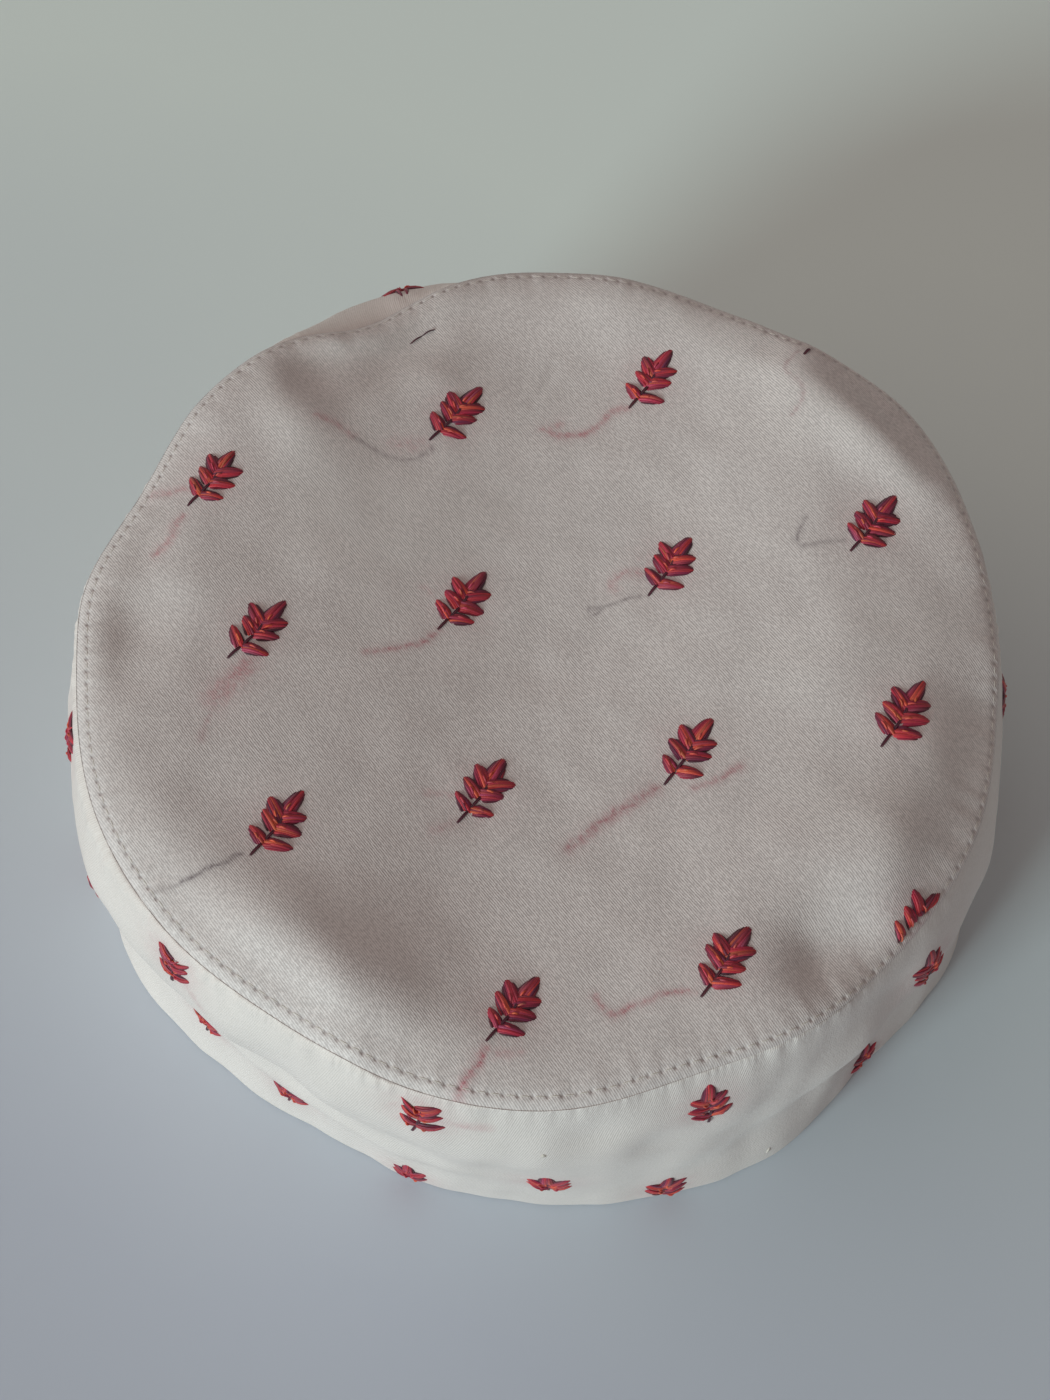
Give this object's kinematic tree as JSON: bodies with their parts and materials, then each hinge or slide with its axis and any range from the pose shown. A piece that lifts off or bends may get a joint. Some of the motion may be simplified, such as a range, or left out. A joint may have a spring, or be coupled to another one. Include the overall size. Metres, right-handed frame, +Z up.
{
  "type": "embroidered round cap",
  "caption": "Soft round cloth cap: a flat crown sewn to an upright band, with small embroidered leaf sprigs, open below for the head.",
  "frame": {"origin": "under the middle of the cap's outline, on the surface that the rim rests on", "axes": "+Z up through the crown; -Y towards the side that the picture was taken from"},
  "size_m": [0.1908, 0.188, 0.0811],
  "materials": {
    "crown_cloth": "soft cotton sateen with a low sheen",
    "band_cloth": "soft cotton sateen with a low sheen"
  },
  "bodies": {
    "root": {"crown": "crown_cloth", "band": "band_cloth"}
  },
  "joints": []
}
